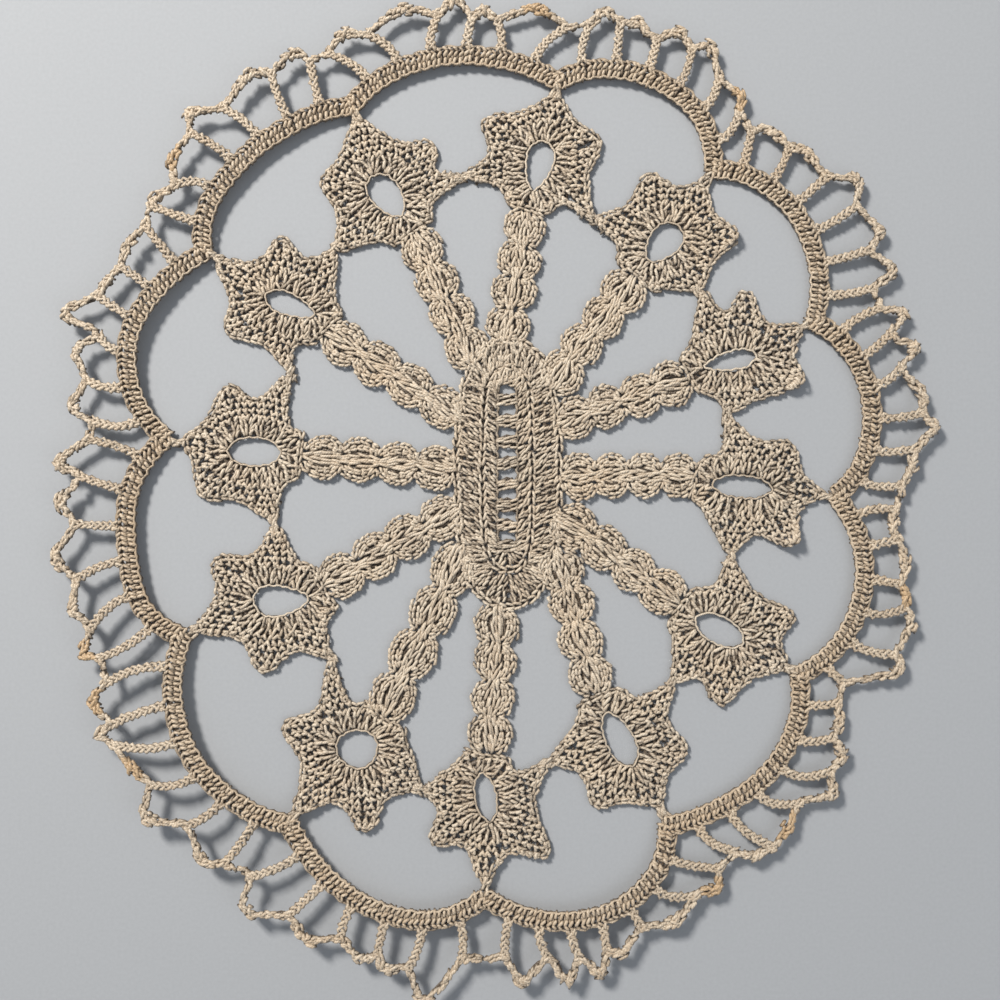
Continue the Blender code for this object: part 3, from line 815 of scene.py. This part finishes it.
def work_arm(yarn, index, stitches):
    """An arm of four shells: a core of posts between two looped ears of chain."""
    start, end = arm_line(index)
    way = (end - start).normalized()
    across = left_of(way)
    length = (end - start).length / SHELLS
    chance = yarn.chance.uniform
    for shell in range(SHELLS):
        base = start + way * (length * shell + 0.3 * MM)

        def at(forward, side):
            return base + way * forward * length + across * side * MM

        for side in CORE_POSTS:
            yarn.post(at(0.0, side * 0.6), at(1.0, side * 0.8), width=0.5 * MM,
                      step=3.0 * MM, height=LEG + 0.5 * MM, bow=side * 0.55 * MM,
                      hand=yarn.chance.choice((-1, 1)), share=1.15)
        for side in (-1, 1):
            swell = side * chance(0.9, 1.08)
            slide = chance(-0.04, 0.04)
            for knots, half_width in ((EAR_EDGE, 0.75), (EAR_HEART, 0.6)):
                loop = smooth([at(forward + slide, out * swell) for forward, out in knots], 6)
                if side < 0:
                    loop.reverse()
                yarn.chain(loop, stitches.chain_pitch * 0.88, half_width * MM,
                           FRONT + chance(-0.1, 0.15) * MM, bumps=False)
            for knots in (EAR_BACK, EAR_HEART, EAR_HOLLOW):
                behind = smooth([at(forward + slide, out * swell) for forward, out in knots], 2)
                yarn.cord(behind, BACK, share=1.4, sway=0.3 * MM)
            for forward, out in EAR_SPOKES:
                yarn.grain(at(0.5 + (forward - 0.5) * 0.7 + slide, out * swell * 0.5),
                           at(forward + slide, out * swell), FRONT - 0.1 * MM,
                           bow=chance(-0.4, 0.4) * MM, share=1.1)
        for side in (-1.5, 0, 1.5):
            yarn.grain(at(0.86, side), at(1.09, side * 0.5), FRONT + 0.2 * MM,
                       bow=chance(-0.4, 0.4) * MM, share=1.1)


def medallion_fan(edge):
    """Points along the medallion's core, their outward directions and the room left."""
    sides = CORE_SAMPLES // 4
    rim, ways = [], []
    for k in range(sides):
        rim.append(Vector((LADDER_SHIFT, LADDER_RISE + LADDER_CORE * (1 - 2 * k / sides))))
        ways.append(Vector((1, 0)))
    for k in range(sides):
        turn = -math.pi * k / sides
        rim.append(Vector((LADDER_SHIFT, LADDER_RISE - LADDER_CORE)))
        ways.append(Vector((math.cos(turn), math.sin(turn))))
    rim += [Vector((place.x, 2 * LADDER_RISE - place.y)) for place in rim[:sides]]
    ways += [-way for way in ways[:sides]]
    rim += [Vector((place.x, 2 * LADDER_RISE - place.y)) for place in rim[sides:2 * sides]]
    ways += [-way for way in ways[sides:2 * sides]]
    rooms = [reach(edge, place, way) for place, way in zip(rim, ways)]
    return Fan(rim, ways, rooms)


def work_medallion(yarn, stitches):
    """The medallion: a ladder of chain rungs inside two rounds of posts."""
    edge = rims("medallion")[0]
    fan = medallion_fan(edge)
    full = max(fan.rooms)

    def at(k, share):
        return fan.rim[k] + fan.ways[k] * (share * (fan.rooms[k] - 0.9 * MM))

    def line(share):
        return [at(k, share) for k in range(len(fan.rim))]

    for share in MEDALLION_BACKS:
        yarn.cord(spaced(line(share) + line(share)[:1], 2.2 * MM), BACK, share=1.4,
                  sway=0.3 * MM)
    for share, start, end, pitch in MEDALLION_ROUNDS:
        distance = share * full
        for k in fan_stations(fan, distance, pitch * MM):
            hand = 1 if fan.ways[k].x > 0 else -1
            lean = Vector((0, yarn.chance.uniform(0.4, 1.0) * MM))
            yarn.post(at(k, start) - lean, at(k, end) + lean, width=0.6 * MM,
                      step=1.7 * MM, bow=yarn.chance.uniform(-0.5, 0.5) * MM, hand=hand)
    yarn.chain(line(0.47), stitches.chain_pitch * 1.1, 1.0 * MM, closed=True)
    yarn.chain(line(0.97), stitches.chain_pitch * 1.1, 0.95 * MM, closed=True)
    ring = line(0.19)
    yarn.cord(ring + ring[:1], LEG, sway=0.2 * MM)
    rungs = [(rung - (RUNGS - 1) / 2) * RUNG_PITCH for rung in range(RUNGS)]
    for height in [-END_RUNG] + rungs + [END_RUNG]:
        for shift in RUNG_POSTS:
            middle = Vector((LADDER_SHIFT, LADDER_RISE + height + shift * MM))
            half = Vector((3.5 * MM, yarn.chance.uniform(-0.5, 0.5) * MM))
            yarn.post(middle - half, middle + half, width=0.35 * MM, step=2.2 * MM)


def scallop_line(index, step=1.2 * MM):
    """The middle line of a scallop of the ring, from knot to knot."""
    row = SCALLOPS[index]
    end = SCALLOPS[(index + 1) % COUNT].knot
    knots = [metres(place) for place in (row.knot, row.rise, row.crown, row.fall, end)]
    row = [3 * knots[0] - 3 * knots[1] + knots[2]] + knots
    row.append(3 * knots[-1] - 3 * knots[-2] + knots[-3])
    line = [through(*row[k:k + 4], s / 12) for k in range(4) for s in range(12)]
    return spaced(line + [knots[-1]], step)


def work_scallop(yarn, index, stitches):
    """A scallop of the ring: slanted legs, a row of Vs and a looped outer edge."""
    line = scallop_line(index)
    inner = beside(line, -2.6 * MM)
    for height in (LEG - 0.15 * MM, LEG + 0.5 * MM):
        yarn.cord(inner, height, share=0.9, sway=0.3 * MM, pitch=3.4 * MM)
    for distance in RING_BACKS:
        yarn.cord(beside(line, distance * MM), BACK, share=1.25, sway=0.3 * MM)
    stations = spaced(line, stitches.ring_pitch * 0.58)
    chance = yarn.chance.uniform
    for place, way in zip(stations, tangents(stations)):
        out = left_of(way)
        place = yarn.stray(place, 4.0)
        slant = way * (0.35 + chance(-0.25, 0.25)) * MM
        behind = place + way * 0.85 * MM
        yarn.grain(place - out * 2.9 * MM - slant, place - out * 0.2 * MM + slant,
                   FRONT + chance(-0.1, 0.2) * MM, share=1.25)
        yarn.grain(place - out * 0.35 * MM - slant, place + out * 1.7 * MM + way * 1.3 * MM,
                   FRONT + chance(0, 0.25) * MM, share=1.2)
        yarn.grain(place + out * 1.5 * MM + way * 1.2 * MM,
                   place + out * 2.9 * MM - way * 0.3 * MM,
                   FRONT - chance(0, 0.25) * MM, share=1.1)
        yarn.lay([(behind - out * 2.5 * MM, LEG - 0.2 * MM), (behind, LEG + 0.1 * MM),
                  (behind + out * 2.5 * MM, LEG - 0.2 * MM)], 1.1)
    yarn.cord(beside(line, 2.8 * MM), LEG + 0.1 * MM, sway=0.3 * MM, pitch=1.7 * MM)


def line_place(line, share):
    """A point on an even line at a share of its length, and the line's direction."""
    index = share * (len(line) - 1)
    whole = min(int(index), len(line) - 2)
    place = line[whole].lerp(line[whole + 1], index - whole)
    return place, (line[whole + 1] - line[whole]).normalized()


def comb_places(index):
    """The feet, heads and picots of the edging along one scallop."""
    line = scallop_line(index)
    comb = COMBS[index]
    pitch = (FOOT_LAST - FOOT_FIRST) / (len(comb.lean) - 1)
    feet, heads, picots = [], [], []
    for k, (lean, out) in enumerate(zip(comb.lean, comb.reach)):
        place, along = line_place(line, FOOT_FIRST + pitch * k)
        feet.append((place, along))
        heads.append(place + (along * lean + left_of(along) * out) * MM)
    for k, (sway, crest) in enumerate(zip(comb.sway, comb.crest)):
        place, along = line_place(line, FOOT_FIRST + pitch * (k + 0.5))
        picots.append(place + (along * sway + left_of(along) * crest) * MM)
    return feet, heads, picots


def spoke_line(head, foot, along):
    """The bent middle line of a spoke, from the ring out to the rail."""
    out = left_of(along)
    base = foot + out * 2.6 * MM
    bend = base + out * (head - base).length * 0.45
    line = []
    for k in range(9):
        share = k / 8
        line.append(base * (1 - share) ** 2 + bend * 2 * share * (1 - share) + head * share ** 2)
    return line


def plait(yarn, line, half_width, pitch, height, strands=3):
    """Threads plaited together along a line, with their ends splayed."""
    fine = spaced(line, pitch / 5)
    ways = tangents(fine)
    passed = 0.0
    rows = [[] for _ in range(strands)]
    for k, (place, way) in enumerate(zip(fine, ways)):
        if k:
            passed += (fine[k] - fine[k - 1]).length
        foot = max(0.0, 0.25 - k / len(fine)) * 1.6
        width = half_width * (yarn.chance.uniform(0.8, 1.2) + foot)
        for strand, row in enumerate(rows):
            turn = 2 * math.pi * (passed / pitch + strand / strands)
            row.append((place + left_of(way) * width * math.sin(turn),
                        height + 0.4 * MM * math.sin(2 * turn)))
    for row in rows:
        yarn.lay(row, 1.3)
    for end, way in ((fine[0], ways[0]), (fine[-1], -ways[-1])):
        for side in (-1, 1):
            yarn.grain(end + (left_of(way) * side * 1.5 - way * 0.8) * MM,
                       end + (left_of(way) * side * 0.4 + way * 1.9) * MM, FRONT)


def work_comb(yarn, index):
    """The edging of one scallop: plaited spokes and a chain rail with picots."""
    feet, heads, picots = comb_places(index)
    before = comb_places(index - 1)[1][-1]
    after = comb_places((index + 1) % COUNT)[1][0]
    for head, (foot, along) in zip(heads, feet):
        line = spoke_line(head, foot, along)
        plait(yarn, line, PLAIT_WIDTH, PLAIT_PITCH, LEG + 0.2 * MM)
    knots = [(before + heads[0]) / 2, heads[0]]
    for head, picot in zip(heads[1:], picots):
        knots += [picot, head]
    knots.append((heads[-1] + after) / 2)
    rail = smooth(knots, 6)
    yarn.cord(rail, BACK + 0.1 * MM, share=1.2, sway=0.6 * MM, pitch=3 * MM)
    chance = yarn.chance.uniform
    stations = spaced(rail, 1.45 * MM)
    ways = tangents(stations)
    for k in range(1, len(stations) - 1):
        near = [(stations[k] - picot).length for picot in picots]
        close = max(0, 1 - min(near) / PICOT_REACH)
        warm = 0.0
        if close and (index, near.index(min(near))) in WARM_PICOTS:
            warm = WARM_SHARE
        half = (1.1 + close * 1.1) * MM
        for _ in range(4 if close > 0.3 else 3):
            height = LEG + chance(0, 0.55 + 0.3 * close) * MM
            yarn.grain(stations[k - 1] + left_of(ways[k - 1]) * chance(-1, 1) * half,
                       stations[k + 1] + left_of(ways[k + 1]) * chance(-1, 1) * half,
                       height, bow=chance(-0.5, 0.5) * MM, share=1.28, warm=warm)


class DOILY_OT_medallion(bpy.types.Operator):
    """Work the medallion."""
    bl_idname = "doily.medallion"
    bl_label = "Medallion"

    def execute(self, context):
        yarn = Yarn(1)
        work_medallion(yarn, context.scene.doily_stitches)
        crocheted("medallion_stitches", yarn, cotton_finish("middle_cotton"),
                  ["medallion"])
        return {"FINISHED"}


class DOILY_OT_arms(bpy.types.Operator):
    """Work the twelve arms."""
    bl_idname = "doily.arms"
    bl_label = "Arms"

    def execute(self, context):
        yarn = Yarn(5)
        for k in range(COUNT):
            work_arm(yarn, k, context.scene.doily_stitches)
        arms = crocheted("arm_stitches", yarn, cotton_finish("shell_cotton"),
                         node_names("arm"))
        return {"FINISHED"}


class DOILY_OT_rosettes(bpy.types.Operator):
    """Work the twelve star rosettes, six on each side."""
    bl_idname = "doily.rosettes"
    bl_label = "Rosettes"

    def execute(self, context):
        for side, first in (("right", 0), ("left", COUNT // 2)):
            yarn = Yarn(2 + first)
            for k in range(first, first + COUNT // 2):
                work_rosette(yarn, k, context.scene.doily_stitches)
            nodes = node_names("rosette")[first:first + COUNT // 2]
            rosettes = crocheted(f"rosettes_{side}", yarn, cotton_finish(f"star_cotton_{side}"),
                                 nodes)
        return {"FINISHED"}


class DOILY_OT_ring(bpy.types.Operator):
    """Work the ring of twelve scallops."""
    bl_idname = "doily.ring"
    bl_label = "Ring"

    def execute(self, context):
        yarn = Yarn(3)
        for k in range(COUNT):
            work_scallop(yarn, k, context.scene.doily_stitches)
        # The ring's cotton is darkened: painted shade with a warmer tint.
        crocheted("scalloped_ring", yarn, cotton_finish("band_cotton", 0.3),
                  node_names("scallop"))
        return {"FINISHED"}


class DOILY_OT_edging(bpy.types.Operator):
    """Work the looped chain edging."""
    bl_idname = "doily.edging"
    bl_label = "Edging"

    def execute(self, context):
        yarn = Yarn(4)
        for k in range(COUNT):
            work_comb(yarn, k)
        # The edging's cotton is darkened a little: painted shade with a warmer tint.
        edging = crocheted("looped_edging", yarn, cotton_finish("loop_cotton", 0.12),
                           node_names("edging"))
        return {"FINISHED"}


def floor_finish(settings):
    """A plain pale satin surface."""
    material = bpy.data.materials.new("floor")
    nodes = Nodes(material)
    spot = nodes.add("ShaderNodeTexCoord", {}, {}, output="Object")
    grain = nodes.add("ShaderNodeTexNoise", {}, {"Vector": spot, "Scale": 900.0, "Detail": 2.0})
    colour = nodes.mix(grain, opaque(settings.floor_colour, 0.94),
                       opaque(settings.floor_colour, 1.06))
    nodes.feed(nodes.shader.inputs["Base Color"], colour)
    nodes.shader.inputs["Roughness"].default_value = 0.8
    nodes.shader.inputs["Specular IOR Level"].default_value = 0.2
    return material


def area_light(name, power, place, size, colour):
    """A soft square light that looks at the middle of the doily."""
    light = bpy.data.lights.new(name, "AREA")
    light.energy = power
    light.size = size
    light.color = colour
    item = bpy.data.objects.new(name, light)
    item.location = place
    item.rotation_euler = (-Vector(place)).to_track_quat("-Z", "Y").to_euler()
    bpy.context.scene.collection.objects.link(item)


class DOILY_OT_stage(bpy.types.Operator):
    """Set the surface, the lights and the view from above."""
    bl_idname = "doily.stage"
    bl_label = "Stage"

    def execute(self, context):
        scene = context.scene
        settings = scene.doily_stage
        body = bmesh.new()
        bmesh.ops.create_grid(body, x_segments=1, y_segments=1, size=FLOOR_REACH)
        mesh = bpy.data.meshes.new("floor")
        body.to_mesh(mesh)
        body.free()
        mesh.materials.append(floor_finish(settings))
        floor = bpy.data.objects.new("floor", mesh)
        scene.collection.objects.link(floor)
        area_light("key_light", settings.light_power, *KEY_LIGHT)
        area_light("fill_light", settings.light_power * FILL_SHARE, *FILL_LIGHT)
        world = bpy.data.worlds.new("studio")
        world.use_nodes = True
        scene.view_settings.view_transform = "Standard"
        background = world.node_tree.nodes["Background"]
        background.inputs["Color"].default_value = SKY_COLOUR
        background.inputs["Strength"].default_value = SKY_STRENGTH
        scene.world = world
        camera = bpy.data.cameras.new("view")
        camera.sensor_width = SENSOR_WIDTH
        camera.lens = SENSOR_WIDTH * settings.camera_height / settings.view_width
        item = bpy.data.objects.new("view", camera)
        middle = (LOWEST + HIGHEST) / 2
        item.location = (middle.x + VIEW_SHIFT[0], middle.y + VIEW_SHIFT[1],
                         settings.camera_height)
        scene.collection.objects.link(item)
        scene.camera = item
        return {"FINISHED"}


class DOILY_PT_panel(bpy.types.Panel):
    """The doily's settings and pieces."""
    bl_idname = "DOILY_PT_panel"
    bl_label = "Lace doily"
    bl_space_type = "VIEW_3D"
    bl_region_type = "UI"
    bl_category = "Doily"

    def draw(self, context):
        for group in (context.scene.doily_cotton, context.scene.doily_stitches,
                      context.scene.doily_stage):
            box = self.layout.box()
            for key in group.__annotations__:
                box.prop(group, key)
        for operator in OPERATORS:
            self.layout.operator(operator.bl_idname)


SETTINGS = (CottonSettings, StitchSettings, StageSettings)
OPERATORS = (DOILY_OT_medallion, DOILY_OT_arms, DOILY_OT_rosettes, DOILY_OT_ring,
             DOILY_OT_edging, DOILY_OT_stage)


def register():
    for item in SETTINGS + OPERATORS + (DOILY_PT_panel,):
        bpy.utils.register_class(item)
    scene = bpy.types.Scene
    scene.doily_cotton = bpy.props.PointerProperty(type=CottonSettings)
    scene.doily_stitches = bpy.props.PointerProperty(type=StitchSettings)
    scene.doily_stage = bpy.props.PointerProperty(type=StageSettings)


def unregister():
    scene = bpy.types.Scene
    del scene.doily_cotton, scene.doily_stitches, scene.doily_stage
    for item in reversed(SETTINGS + OPERATORS + (DOILY_PT_panel,)):
        bpy.utils.unregister_class(item)


def main():
    """Make the doily and its stage."""
    register()
    bpy.ops.doily.medallion()
    bpy.ops.doily.arms()
    bpy.ops.doily.rosettes()
    bpy.ops.doily.ring()
    bpy.ops.doily.edging()
    bpy.ops.doily.stage()


if __name__ == "__main__":
    main()
